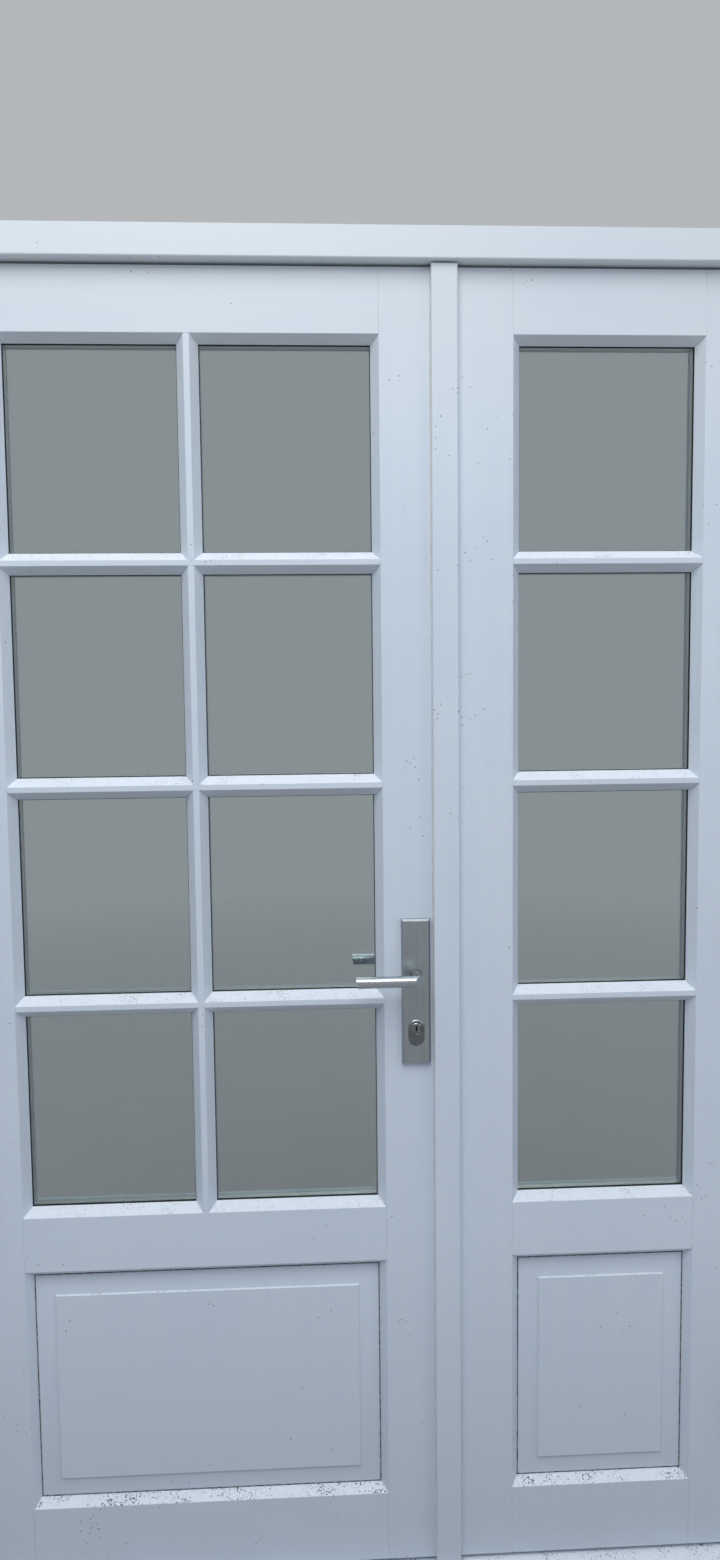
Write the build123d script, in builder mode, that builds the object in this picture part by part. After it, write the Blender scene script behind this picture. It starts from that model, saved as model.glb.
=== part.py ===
# Outward-opening timber french doors in their frame: a wide active leaf with two columns of panes
# and a narrow passive leaf with one column, each over a raised and fielded panel. All sizes are in
# millimetres. X runs to the right as seen from outside, Y runs inwards, Z runs up. The origin is at
# the middle of the sill's underside.
from build123d import *

import os
from math import radians, tan

os.makedirs("parts", exist_ok=True)

# Leaves
active_width = 768.0
passive_width = 492.0
leaf_height = 2040.0
leaf_thickness = 54.0
stile_width = 99.0
top_rail = 96.0
mid_rail = 88.0
bottom_rail = 114.0
panel_height = 395.5
pane_rows = 4
active_columns = 2
cross_bar_nose = 8.5
upright_bar_nose = 9.0
meeting_bevel = 2.5

# Gaps round the leaves
hinge_gap = 3.0
meeting_gap = 4.0
top_gap = 4.0
bottom_gap = 4.0
stop_gap = 4.0
seal_play = 0.3

# Frame
frame_face = 47.0
frame_depth = 115.0
leaf_setback = 22.0
stop_overlap = 13.0
frame_edge_radius = 3.0
threshold_height = 32.0
threshold_fall = radians(4.0)
threshold_nose = 18.0
drip_groove = 5.0
seal_width = 8.0
seal_inset = 3.0
fixing_radius = 5.25
fixing_count = 4
fixing_spacing = 400.0
fixing_first = 460.0

# Mouldings, glass and beads
pane_mould_run = 12.2
pane_mould_depth = 17.5
panel_mould_run = 11.0
panel_mould_depth = 15.0
glass_play = 3.0
tape_thickness = 1.5
glass_thickness = 4.0
spacer_thickness = 12.0
spacer_width = 6.5
spacer_inset = 3.5
bead_chamfer = 5.0
bead_mitre_gap = 0.3

# Raised panels
panel_tongue = 24.0
panel_play = 1.0
panel_slack = 0.2
field_inset = 44.5
field_setback = 8.0
field_step = 3.0

# Cover strips
outer_strip_width = 40.0
outer_strip_thickness = 13.0
outer_strip_lap = 14.0
outer_strip_rise = 2.0
strip_chamfer = 1.5
inner_strip_width = 44.0
inner_strip_thickness = 12.0
inner_strip_lap = 13.0
inner_strip_end_gap = 3.0

# Hinges
hinge_length = 100.0
hinge_top = 200.0
hinge_bottom = 250.0
knuckle_radius = 8.0
knuckle_clearance = 0.5
hinge_pin_radius = 4.0
pin_play = 0.05
knuckle_gap = 0.3
flap_thickness = 2.5
flap_reach = 34.0

# Lock, latch and bolts
spindle_height = 974.0
backset = 50.0
faceplate_width = 22.0
faceplate_thickness = 3.0
faceplate_above = 90.0
faceplate_below = 145.0
case_depth = 72.0
case_thickness = 16.0
case_above = 44.0
case_below = 124.0
case_wall = 2.0
mortise_play = 0.4
slide_play = 0.3
latch_height = 22.0
bolt_thickness = 11.0
latch_rise = 18.0
latch_throw = 12.0
latch_proud = 13.0
latch_depth = 40.0
latch_tip_flat = 2.0
latch_window_back = 5.5
latch_window_front = 6.5
tail_end = 5.0
deadbolt_height = 28.0
deadbolt_length = 30.0
deadbolt_drop = 70.0
deadbolt_throw = 16.0
deadbolt_sunk = 0.5
deadbolt_window = 7.5
tail_thickness = 9.0
tail_height = 10.0
latch_tail_rise = 14.0
deadbolt_tail_rise = 7.5
arm_thickness = 4.4
arm_slot_play = 0.4
follower_radius = 11.0
follower_arm_width = 7.0
follower_arm_reach = 22.0
cylinder_drop = 91.5
oval_height = 41.5
oval_width = 24.0
plug_rise = 6.5
plug_radius = 9.0
keyway_width = 2.2
keyway_height = 9.0
keyway_depth = 3.0
cylinder_proud = 2.0
cam_reach = 15.0
cam_width = 5.0
cam_hub_radius = 6.0
cam_rest_angle = 135.0
turn_shaft_radius = 4.0

# Plates and levers
plate_width = 45.0
plate_above = 88.0
plate_below = 142.0
plate_thickness = 9.0
plate_bevel = 3.0
stud_above = 72.0
stud_below = 132.0
stud_radius = 2.5
stud_bite = 6.0
stud_end_gap = 1.0
lever_bar_radius = 8.75
lever_reach = 38.0
lever_length = 96.0
elbow_facet = 14.0
lever_back_gap = 1.0
lever_play = 0.3
grip_end_slant = 2.9
grip_end_chamfer = 0.8
spindle_size = 8.0
spindle_play = 0.05
spindle_bite = 19.5
turn_grip_length = 30.0
turn_grip_width = 7.0
turn_grip_reach = 20.0
turn_neck_radius = 8.0
turn_neck_proud = 4.0

# Strike and flush bolts
strike_thickness = 2.5
strike_above = 55.0
strike_below = 110.0
strike_pocket = 14.0
strike_play = 1.0
rod_width = 7.0
rod_depth = 8.0
rod_play = 0.3
rod_throw = 16.0
rod_recess = 2.0
rod_set_in = 9.0
bolt_plate_height = 180.0
bolt_plate_width = 24.0
bolt_plate_thickness = 3.0
bolt_channel_depth = 16.0
bolt_channel_width = 13.0
bolt_channel_end = 15.0
bolt_end_distance = 150.0
knob_distance = 110.0
knob_height = 9.0
knob_width = 5.0
knob_proud = 0.4
knob_rest_play = 0.5
bolt_guide_height = 30.0
keep_length = 34.0
keep_width = 18.0
keep_thickness = 2.0
keep_pocket = 14.0
keep_play = 1.0

# Places worked out from the sizes above
opening_width = 2 * hinge_gap + active_width + meeting_gap + passive_width
frame_width = opening_width + 2 * frame_face
leaf_bottom = threshold_height + bottom_gap
leaf_top = leaf_bottom + leaf_height
head_bottom = leaf_top + top_gap
frame_top = head_bottom + frame_face
jamb_reveal = opening_width / 2
frame_front = -frame_depth / 2
frame_back = frame_depth / 2
leaf_face = frame_front + leaf_setback
leaf_back = leaf_face + leaf_thickness
leaf_middle = (leaf_face + leaf_back) / 2
stop_face = leaf_back + stop_gap
active_left = -jamb_reveal + hinge_gap
active_right = active_left + active_width
passive_left = active_right + meeting_gap
passive_right = passive_left + passive_width
panel_bottom = leaf_bottom + bottom_rail
panel_top = panel_bottom + panel_height
glass_bottom = panel_top + mid_rail
glass_top = leaf_top - top_rail
pane_height = (glass_top - glass_bottom - (pane_rows - 1) * cross_bar_nose) / pane_rows
glass_face = leaf_face + pane_mould_depth + tape_thickness
spacer_face = glass_face + glass_thickness
inner_glass_face = spacer_face + spacer_thickness
bead_face = inner_glass_face + glass_thickness
spindle_z = leaf_bottom + spindle_height
spindle_x = active_right - backset
cylinder_z = spindle_z - cylinder_drop
plug_z = cylinder_z + plug_rise
edge_slope = meeting_bevel / leaf_thickness
faceplate_front = active_right - edge_slope * (leaf_middle + faceplate_width / 2 - leaf_face)
strike_front = passive_left + edge_slope * (leaf_middle + faceplate_width / 2 - leaf_face)
plate_front = leaf_face - plate_thickness
plate_back = leaf_back + plate_thickness
stop_edge = jamb_reveal - hinge_gap - stop_overlap
hinge_centres = [
    leaf_bottom + hinge_bottom,
    (leaf_bottom + hinge_bottom + leaf_top - hinge_top) / 2,
    leaf_top - hinge_top,
]
pin_y = frame_front - knuckle_radius - knuckle_clearance


def facing(y):
    """A plane that faces the viewer outside at depth y. Its own axes are world X and Z."""
    return Plane(origin=(0, y, 0), x_dir=(1, 0, 0), z_dir=(0, -1, 0))


def level(z):
    """A level plane at height z. Its own axes are world X and Y."""
    return Plane.XY.offset(z)


def upright(x):
    """A plane across the door set at x. Its own axes are world Y and Z."""
    return Plane.YZ.offset(x)


def save(builder, label):
    """Label a finished piece and write it as its own file."""
    builder.part.label = label
    export_step(builder.part, f"parts/{label}.step")


def rectangle(x0, x1, z0, z1, inset=0.0, mode=Mode.ADD):
    """A rectangle between two columns and two rows of a sketch, drawn in by an inset."""
    with Locations(((x0 + x1) / 2, (z0 + z1) / 2)):
        Rectangle(abs(x1 - x0) - 2 * inset, abs(z1 - z0) - 2 * inset, mode=mode)


def block(x0, x1, y0, y1, z0, z1, mode=Mode.ADD):
    """A square-sided block between three pairs of limits."""
    with Locations(((x0 + x1) / 2, (y0 + y1) / 2, (z0 + z1) / 2)):
        Box(abs(x1 - x0), abs(y1 - y0), abs(z1 - z0), mode=mode)


def frustum(x0, x1, z0, z1, y, depth, run, mode=Mode.ADD):
    """A block from depth y onwards that narrows by a run on all four sides."""
    width, height = x1 - x0, z1 - z0
    turn = 0 if depth > 0 else 180
    with Locations(((x0 + x1) / 2, y + depth / 2, (z0 + z1) / 2)):
        Wedge(
            width,
            abs(depth),
            height,
            run,
            run,
            width - run,
            height - run,
            rotation=(turn, 0, 0),
            mode=mode,
        )


class Opening:
    """A framed opening of a leaf, with the chamfer that runs round it on one face of the leaf."""

    def __init__(self, x0, x1, z0, z1, run, face, depth):
        self.x0, self.x1, self.z0, self.z1 = x0, x1, z0, z1
        self.run, self.face, self.depth = run, face, depth

    def lip(self, side, gap=0.0):
        """Corners of the mitred strip along one side, from the opening's edge to its sight line."""
        run = self.run
        if side in ("left", "right"):
            low, high = self.z0 + gap, self.z1 - gap
            edge, sight = (self.x0, self.x0 + run) if side == "left" else (self.x1, self.x1 - run)
            return [(edge, low), (sight, low + run), (sight, high - run), (edge, high)]
        low, high = self.x0 + gap, self.x1 - gap
        edge, sight = (self.z0, self.z0 + run) if side == "low" else (self.z1, self.z1 - run)
        return [(low, edge), (low + run, sight), (high - run, sight), (high, edge)]


def pane_opening(x0, x1, row):
    """The opening of one pane, counted in rows from the bottom."""
    z0 = glass_bottom + row * (pane_height + cross_bar_nose)
    return Opening(x0, x1, z0, z0 + pane_height, pane_mould_run, leaf_face, pane_mould_depth)


def panel_openings(x0, x1):
    """The outer and the inner chamfer round a panel."""
    inner_depth = leaf_thickness - panel_mould_depth - panel_tongue - 2 * panel_slack
    return [
        Opening(x0, x1, panel_bottom, panel_top, panel_mould_run, leaf_face, panel_mould_depth),
        Opening(x0, x1, panel_bottom, panel_top, panel_mould_run, leaf_back, -inner_depth),
    ]


def leaf_member(x0, x1, z0, z1, borders, left_bevel=0.0, right_bevel=0.0):
    """One timber of a leaf: a bar with a mitred chamfer beside each opening that it borders."""
    with BuildPart() as member:
        with BuildSketch(level(z0)):
            Polygon(
                (x0, leaf_face),
                (x1, leaf_face),
                (x1 - right_bevel, leaf_back),
                (x0 + left_bevel, leaf_back),
                align=None,
            )
        extrude(amount=z1 - z0)
        for opening, side in borders:
            with BuildSketch(facing(opening.face)):
                Polygon(*opening.lip(side), align=None)
            extrude(amount=-opening.depth)
        for opening, side in borders:
            corners = (opening.x0, opening.x1, opening.z0, opening.z1)
            frustum(*corners, opening.face, opening.depth, opening.run, mode=Mode.SUBTRACT)
    return member


def raised_panel(x0, x1):
    """A raised and fielded panel: a tongue in the grooves, sloping margins and a stepped field."""
    groove_face = leaf_face + panel_mould_depth + panel_slack
    middle = groove_face + panel_tongue / 2
    margin_face = leaf_face + field_setback + field_step
    with BuildPart() as panel:
        with BuildSketch(facing(groove_face)):
            rectangle(x0, x1, panel_bottom, panel_top, panel_play)
        extrude(amount=-panel_tongue)
        frustum(
            x0 + panel_mould_run,
            x1 - panel_mould_run,
            panel_bottom + panel_mould_run,
            panel_top - panel_mould_run,
            groove_face,
            margin_face - groove_face,
            field_inset - panel_mould_run,
        )
        with BuildSketch(facing(margin_face)):
            rectangle(x0, x1, panel_bottom, panel_top, field_inset)
        extrude(amount=field_step)
        mirror(about=facing(middle))
    return panel


# Active leaf: two columns of panes, split by upright bars, over one panel
active_x0 = active_left + stile_width
active_x1 = active_right - stile_width
column_width = (active_x1 - active_x0 - (active_columns - 1) * upright_bar_nose) / active_columns
column_lefts = [active_x0 + i * (column_width + upright_bar_nose) for i in range(active_columns)]
active_panes = [
    [pane_opening(x, x + column_width, row) for row in range(pane_rows)] for x in column_lefts
]
active_panel_openings = panel_openings(active_x0, active_x1)

# Passive leaf: one column of panes over one panel
passive_x0 = passive_left + stile_width
passive_x1 = passive_right - stile_width
passive_panes = [[pane_opening(passive_x0, passive_x1, row) for row in range(pane_rows)]]
passive_panel_openings = panel_openings(passive_x0, passive_x1)


def rails(prefix, x0, x1, columns, panels):
    """The three rails of a leaf and its through cross bars, between the stiles."""
    top = leaf_member(x0, x1, glass_top, leaf_top, [(column[-1], "high") for column in columns])
    save(top, f"{prefix}_top_rail")
    middle = leaf_member(
        x0,
        x1,
        panel_top,
        glass_bottom,
        [(column[0], "low") for column in columns] + [(panel, "high") for panel in panels],
    )
    save(middle, f"{prefix}_mid_rail")
    bottom = leaf_member(x0, x1, leaf_bottom, panel_bottom, [(panel, "low") for panel in panels])
    save(bottom, f"{prefix}_bottom_rail")
    bars = []
    for row in range(pane_rows - 1):
        z0 = columns[0][row].z1
        borders = [(column[row], "high") for column in columns]
        borders += [(column[row + 1], "low") for column in columns]
        bars.append(leaf_member(x0, x1, z0, z0 + cross_bar_nose, borders))
    with BuildPart() as cross_bars:
        for bar in bars:
            add(bar)
    save(cross_bars, f"{prefix}_cross_bars")


rails("active", active_x0, active_x1, active_panes, active_panel_openings)
rails("passive", passive_x0, passive_x1, passive_panes, passive_panel_openings)

# Upright bars stand between the cross bars, from nose to nose
uprights = []
for left, right in zip(active_panes, active_panes[1:]):
    for row in range(pane_rows):
        uprights.append(
            leaf_member(
                left[row].x1,
                right[row].x0,
                left[row].z0,
                left[row].z1,
                [(left[row], "right"), (right[row], "left")],
            )
        )
with BuildPart() as upright_bars:
    for piece in uprights:
        add(piece)
save(upright_bars, "active_upright_bars")

# Raised panels
for prefix, x0, x1 in (("active", active_x0, active_x1), ("passive", passive_x0, passive_x1)):
    save(raised_panel(x0, x1), f"{prefix}_panel")


def glazing(prefix, columns):
    """Sealed units of a leaf: tape, two panes and a spacer in each opening, held by mitred beads."""
    openings = [opening for column in columns for opening in column]
    spacer_edge = glass_play + spacer_inset

    def sheets(y, depth, inset, hole=None):
        """One sheet or ring in every opening, of the depth given."""
        with BuildPart() as group:
            with BuildSketch(facing(y)):
                for o in openings:
                    rectangle(o.x0, o.x1, o.z0, o.z1, inset)
                    if hole is not None:
                        rectangle(o.x0, o.x1, o.z0, o.z1, hole, mode=Mode.SUBTRACT)
            extrude(amount=-depth)
        return group

    tape = sheets(glass_face - tape_thickness, tape_thickness, glass_play, pane_mould_run)
    save(tape, f"{prefix}_glazing_tapes")
    save(sheets(glass_face, glass_thickness, glass_play), f"{prefix}_outer_panes")
    spacers = sheets(spacer_face, spacer_thickness, spacer_edge, spacer_edge + spacer_width)
    save(spacers, f"{prefix}_spacers")
    save(sheets(inner_glass_face, glass_thickness, glass_play), f"{prefix}_inner_panes")

    with BuildPart() as beads:
        for o in openings:
            for side in ("left", "right", "low", "high"):
                with BuildSketch(facing(bead_face)):
                    Polygon(*o.lip(side, bead_mitre_gap), align=None)
                extrude(amount=-(leaf_back - bead_face))
        sight_edges = [
            edge
            for edge in beads.edges().filter_by(Plane.XZ).group_by(Axis.Y)[-1]
            if any(on_sight_line(edge, o) for o in openings)
        ]
        chamfer(sight_edges, bead_chamfer)
    save(beads, f"{prefix}_glazing_beads")


def on_sight_line(edge, o):
    """Whether an edge lies along one of an opening's four sight lines."""
    centre = edge.center()
    straight_up = abs(edge.tangent_at(0.5).Z) > 0.999
    level_run = abs(edge.tangent_at(0.5).X) > 0.999
    inside = o.x0 < centre.X < o.x1 and o.z0 < centre.Z < o.z1
    on_column = min(abs(centre.X - o.x0 - o.run), abs(centre.X - o.x1 + o.run)) < 0.01
    on_row = min(abs(centre.Z - o.z0 - o.run), abs(centre.Z - o.z1 + o.run)) < 0.01
    return inside and ((straight_up and on_column) or (level_run and on_row))


glazing("active", active_panes)
glazing("passive", passive_panes)


def border_sides(columns, side, panels):
    """The openings that a stile borders on one side."""
    return [(opening, side) for opening in columns] + [(panel, side) for panel in panels]


# Hinges: faces of jamb and leaf, middle of the pins, and the way from jamb to leaf
hinge_sides = {
    "active": (-jamb_reveal, active_left, (active_left - jamb_reveal) / 2, 1),
    "passive": (jamb_reveal, passive_right, (passive_right + jamb_reveal) / 2, -1),
}
knuckle_length = (hinge_length - 2 * knuckle_gap) / 3


def flap(x, direction, centre, front, mode=Mode.ADD):
    """A hinge flap, or the recess for one: a plate let in from x along the direction given."""
    low = centre - hinge_length / 2
    back = leaf_face + flap_reach
    block(x, x + direction * flap_thickness, front, back, low, low + hinge_length, mode=mode)


def round_about_pin(pin_x, z, length, radius, mode=Mode.ADD):
    """A cylinder about the middle of a hinge's pin, from a height upwards."""
    with Locations((pin_x, pin_y, z)):
        Cylinder(radius, length, align=(Align.CENTER, Align.CENTER, Align.MIN), mode=mode)


def knuckle(x, direction, pin_x, z):
    """A knuckle of a butt hinge, from a height upwards, with the web that joins it to its flap."""
    block(x, x + direction * flap_thickness, pin_y, frame_front, z, z + knuckle_length)
    round_about_pin(pin_x, z, knuckle_length, knuckle_radius)


# Frame halves have the outer two knuckles and the fixed pin, leaf halves the middle knuckle
with BuildPart() as frame_hinge_leaves:
    for jamb_x, leaf_x, pin_x, inward in hinge_sides.values():
        for centre in hinge_centres:
            low = centre - hinge_length / 2
            high = centre + hinge_length / 2 - knuckle_length
            flap(jamb_x, -inward, centre, frame_front)
            knuckle(jamb_x, -inward, pin_x, low)
            knuckle(jamb_x, -inward, pin_x, high)
            round_about_pin(pin_x, low + knuckle_length, high - low - knuckle_length, hinge_pin_radius)
save(frame_hinge_leaves, "frame_hinge_leaves")

for side, (jamb_x, leaf_x, pin_x, inward) in hinge_sides.items():
    with BuildPart() as leaf_hinge_leaves:
        for centre in hinge_centres:
            low = centre - knuckle_length / 2
            flap(leaf_x, inward, centre, frame_front)
            knuckle(leaf_x, inward, pin_x, low)
            bore = hinge_pin_radius + pin_play
            round_about_pin(pin_x, low, knuckle_length, bore, mode=Mode.SUBTRACT)
    save(leaf_hinge_leaves, f"{side}_hinge_leaves")


def cut_hinge_recesses(x, direction, front):
    """Sink the flaps of one stile or jamb."""
    for centre in hinge_centres:
        flap(x, direction, centre, front, mode=Mode.SUBTRACT)


# Hinge stiles
hinge_stile = leaf_member(
    active_left,
    active_x0,
    leaf_bottom,
    leaf_top,
    border_sides(active_panes[0], "left", active_panel_openings),
)
with BuildPart() as active_hinge_stile:
    add(hinge_stile)
    cut_hinge_recesses(active_left, 1, leaf_face)
save(active_hinge_stile, "active_hinge_stile")

hinge_stile = leaf_member(
    passive_x1,
    passive_right,
    leaf_bottom,
    leaf_top,
    border_sides(passive_panes[-1], "right", passive_panel_openings),
)
with BuildPart() as passive_hinge_stile:
    add(hinge_stile)
    cut_hinge_recesses(passive_right, -1, leaf_face)
save(passive_hinge_stile, "passive_hinge_stile")


def oval(height, width):
    """The upright oval of the lock cylinder, as a sketch object."""
    SlotOverall(height, width, rotation=90)


# Lock stile: mortise for the case, recess for the faceplate, holes for spindle, cylinder and studs
case_front = faceplate_front - faceplate_thickness
faceplate_top = spindle_z + faceplate_above
faceplate_foot = spindle_z - faceplate_below
stud_heights = (spindle_z + stud_above, spindle_z - stud_below)
lock_stile = leaf_member(
    active_x1,
    active_right,
    leaf_bottom,
    leaf_top,
    border_sides(active_panes[-1], "right", active_panel_openings),
    right_bevel=meeting_bevel,
)
with BuildPart() as active_lock_stile:
    add(lock_stile)
    block(
        case_front,
        active_right,
        leaf_middle - faceplate_width / 2,
        leaf_middle + faceplate_width / 2,
        faceplate_foot,
        faceplate_top,
        mode=Mode.SUBTRACT,
    )
    block(
        case_front - case_depth - mortise_play,
        case_front,
        leaf_middle - case_thickness / 2 - mortise_play,
        leaf_middle + case_thickness / 2 + mortise_play,
        spindle_z - case_below - mortise_play,
        spindle_z + case_above + mortise_play,
        mode=Mode.SUBTRACT,
    )
    with BuildSketch(facing(leaf_face)):
        with Locations((spindle_x, spindle_z)):
            Circle(follower_radius)
        with Locations(*[(spindle_x, z) for z in stud_heights]):
            Circle(stud_radius + mortise_play)
        with Locations((spindle_x, cylinder_z)):
            oval(oval_height + 2 * mortise_play, oval_width + 2 * mortise_play)
    extrude(amount=-leaf_thickness, mode=Mode.SUBTRACT)
save(active_lock_stile, "active_lock_stile")

# Lock case: a thin box with windows for the bolts and holes for the follower and the cam
latch_z = spindle_z + latch_rise
deadbolt_z = spindle_z - deadbolt_drop
case_back = case_front - case_depth
with BuildPart() as lock_case:
    block(
        case_back,
        case_front,
        leaf_middle - case_thickness / 2,
        leaf_middle + case_thickness / 2,
        spindle_z - case_below,
        spindle_z + case_above,
    )
    block(
        case_back + case_wall,
        case_front - case_wall,
        leaf_middle - case_thickness / 2 + case_wall,
        leaf_middle + case_thickness / 2 - case_wall,
        spindle_z - case_below + case_wall,
        spindle_z + case_above - case_wall,
        mode=Mode.SUBTRACT,
    )
    with BuildSketch(facing(leaf_middle - case_thickness / 2)):
        with Locations((spindle_x, spindle_z)):
            Circle(follower_radius + slide_play)
        with Locations((spindle_x, plug_z)):
            Circle(cam_hub_radius + slide_play)
    extrude(amount=-case_thickness, mode=Mode.SUBTRACT)
    with BuildSketch(upright(case_front - case_wall)):
        with Locations((leaf_middle, latch_z)):
            Rectangle(bolt_thickness + 2 * slide_play, latch_height + 2 * slide_play)
        with Locations((leaf_middle, deadbolt_z)):
            Rectangle(bolt_thickness + 2 * slide_play, deadbolt_height + 2 * slide_play)
    extrude(amount=case_wall, mode=Mode.SUBTRACT)
save(lock_case, "lock_case")

# Faceplate in the lock edge
with BuildPart() as lock_faceplate:
    block(
        case_front,
        faceplate_front,
        leaf_middle - faceplate_width / 2,
        leaf_middle + faceplate_width / 2,
        faceplate_foot,
        faceplate_top,
    )
    with BuildSketch(upright(case_front)):
        with Locations((leaf_middle, latch_z)):
            Rectangle(bolt_thickness + 2 * slide_play, latch_height + 2 * slide_play)
        with Locations((leaf_middle, deadbolt_z)):
            Rectangle(bolt_thickness + 2 * slide_play, deadbolt_height + 2 * slide_play)
    extrude(amount=faceplate_thickness, mode=Mode.SUBTRACT)
save(lock_faceplate, "lock_faceplate")


def windowed_tail(x0, x1, z0, window_x0, window_x1):
    """The tail of a bolt: a bar with a slot through it for the arm that draws the bolt."""
    slot = arm_thickness / 2 + arm_slot_play
    z1 = z0 + tail_height
    block(x0, x1, leaf_middle - tail_thickness / 2, leaf_middle + tail_thickness / 2, z0, z1)
    block(window_x0, window_x1, leaf_middle - slot, leaf_middle + slot, z0, z1, mode=Mode.SUBTRACT)


# Latch bolt: a bevelled tongue on a block, and a tail that the follower's arm draws back
latch_tip = faceplate_front + latch_proud
latch_rear = latch_tip - latch_depth
with BuildPart() as latch_bolt:
    with BuildSketch(level(latch_z - latch_height / 2)):
        Polygon(
            (latch_rear, leaf_middle - bolt_thickness / 2),
            (latch_tip, leaf_middle - bolt_thickness / 2),
            (latch_tip, leaf_middle - bolt_thickness / 2 + latch_tip_flat),
            (faceplate_front + latch_proud - latch_throw, leaf_middle + bolt_thickness / 2),
            (latch_rear, leaf_middle + bolt_thickness / 2),
            align=None,
        )
    extrude(amount=latch_height)
    windowed_tail(
        spindle_x - latch_window_back - tail_end,
        latch_rear,
        spindle_z + latch_tail_rise,
        spindle_x - latch_window_back,
        spindle_x + latch_window_front,
    )
save(latch_bolt, "latch_bolt")

# Deadbolt: a square bar with a slotted tail over the cam, drawn back at rest
deadbolt_tip = faceplate_front - deadbolt_sunk
cam_rest_x = spindle_x - deadbolt_throw / 2
with BuildPart() as deadbolt:
    block(
        deadbolt_tip - deadbolt_length,
        deadbolt_tip,
        leaf_middle - bolt_thickness / 2,
        leaf_middle + bolt_thickness / 2,
        deadbolt_z - deadbolt_height / 2,
        deadbolt_z + deadbolt_height / 2,
    )
    windowed_tail(
        cam_rest_x - deadbolt_window - tail_end,
        deadbolt_tip - deadbolt_length,
        plug_z + deadbolt_tail_rise,
        cam_rest_x - deadbolt_window,
        cam_rest_x + deadbolt_window,
    )
save(deadbolt, "deadbolt")

# Follower: a drum in the lock case with a square hole for the spindle and an arm to the latch
with BuildPart() as follower:
    with BuildSketch(facing(leaf_middle - case_thickness / 2)):
        with Locations((spindle_x, spindle_z)):
            Circle(follower_radius)
    extrude(amount=-case_thickness)
    block(
        spindle_x - follower_arm_width / 2,
        spindle_x + follower_arm_width / 2,
        leaf_middle - arm_thickness / 2,
        leaf_middle + arm_thickness / 2,
        spindle_z,
        spindle_z + follower_arm_reach,
    )
    with BuildSketch(facing(leaf_middle - case_thickness / 2)):
        with Locations((spindle_x, spindle_z)):
            Rectangle(spindle_size + 2 * spindle_play, spindle_size + 2 * spindle_play)
    extrude(amount=-case_thickness, mode=Mode.SUBTRACT)
save(follower, "follower")

# Levers: a round bar from the plate, mitred to the grip, with a flat cut across the elbow
grip_y = plate_front - lever_reach
grip_end_x = spindle_x - lever_length
neck_start = leaf_face - lever_back_gap
with BuildPart() as outside_lever:
    with BuildLine(level(spindle_z)):
        Polyline((spindle_x, neck_start), (spindle_x, grip_y), (grip_end_x, grip_y))
    with BuildSketch(Plane(origin=(spindle_x, neck_start, spindle_z), z_dir=(0, -1, 0))):
        Circle(lever_bar_radius)
    sweep(transition=Transition.RIGHT)
    elbow_cut = Plane(
        origin=(spindle_x + lever_bar_radius - elbow_facet, grip_y - lever_bar_radius, spindle_z),
        z_dir=(1, -1, 0),
    )
    split(bisect_by=elbow_cut, keep=Keep.BOTTOM)
    end_cut = Plane(
        origin=(grip_end_x + grip_end_slant / 2, grip_y, spindle_z),
        z_dir=(2 * lever_bar_radius, 0, grip_end_slant),
    )
    split(bisect_by=end_cut, keep=Keep.TOP)
    chamfer(outside_lever.faces().sort_by(Axis.X)[0].edges(), grip_end_chamfer)
    with BuildSketch(facing(neck_start)):
        with Locations((spindle_x, spindle_z)):
            Rectangle(spindle_size + 2 * spindle_play, spindle_size + 2 * spindle_play)
    extrude(amount=spindle_bite + lever_back_gap, mode=Mode.SUBTRACT)
save(outside_lever, "outside_lever")

with BuildPart() as inside_lever:
    mirror(outside_lever.part, about=facing(leaf_middle))
save(inside_lever, "inside_lever")

# Square spindle through follower and leaf, from socket to socket
with BuildPart() as spindle:
    with BuildSketch(facing(neck_start - spindle_bite)):
        with Locations((spindle_x, spindle_z)):
            Rectangle(spindle_size, spindle_size)
    extrude(amount=-(leaf_thickness + 2 * lever_back_gap + 2 * spindle_bite))
save(spindle, "spindle")

# Oval lock cylinder: a fixed body from the outside plate to the lock case, bored for its plug
cylinder_front = plate_front - cylinder_proud
cylinder_rear = leaf_middle - case_thickness / 2 - mortise_play
with BuildPart() as cylinder_body:
    with BuildSketch(facing(cylinder_front)):
        with Locations((spindle_x, cylinder_z)):
            oval(oval_height, oval_width)
        with Locations((spindle_x, plug_z)):
            Circle(plug_radius + pin_play, mode=Mode.SUBTRACT)
    extrude(amount=cylinder_front - cylinder_rear)
    front_rim = cylinder_body.faces().sort_by(Axis.Y)[0].outer_wire().edges()
    chamfer(front_rim, cylinder_proud / 2)
save(cylinder_body, "cylinder_body")

with BuildPart() as cylinder_plug:
    with BuildSketch(facing(cylinder_front)):
        with Locations((spindle_x, plug_z)):
            Circle(plug_radius)
    extrude(amount=cylinder_front - cylinder_rear)
    with BuildSketch(facing(cylinder_front)):
        with Locations((spindle_x, plug_z)):
            Rectangle(keyway_width, keyway_height)
    extrude(amount=-keyway_depth, mode=Mode.SUBTRACT)
save(cylinder_plug, "cylinder_plug")

# Cam: its hub turns in the lock case, its arm throws the deadbolt, its shaft joins plug and turn
with BuildPart() as bolt_cam:
    with BuildSketch(facing(cylinder_rear)):
        with Locations((spindle_x, plug_z)):
            Circle(cam_hub_radius)
    extrude(amount=-(case_thickness + 2 * mortise_play))
    with BuildSketch(facing(leaf_middle - arm_thickness / 2)):
        with Locations(Location((spindle_x, plug_z), cam_rest_angle)):
            Rectangle(cam_reach, cam_width, align=(Align.MIN, Align.CENTER))
    extrude(amount=-arm_thickness)
    with BuildSketch(facing(leaf_middle)):
        with Locations((spindle_x, plug_z)):
            Circle(turn_shaft_radius)
    extrude(amount=-(leaf_back + lever_back_gap - leaf_middle))
save(bolt_cam, "bolt_cam")

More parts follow.
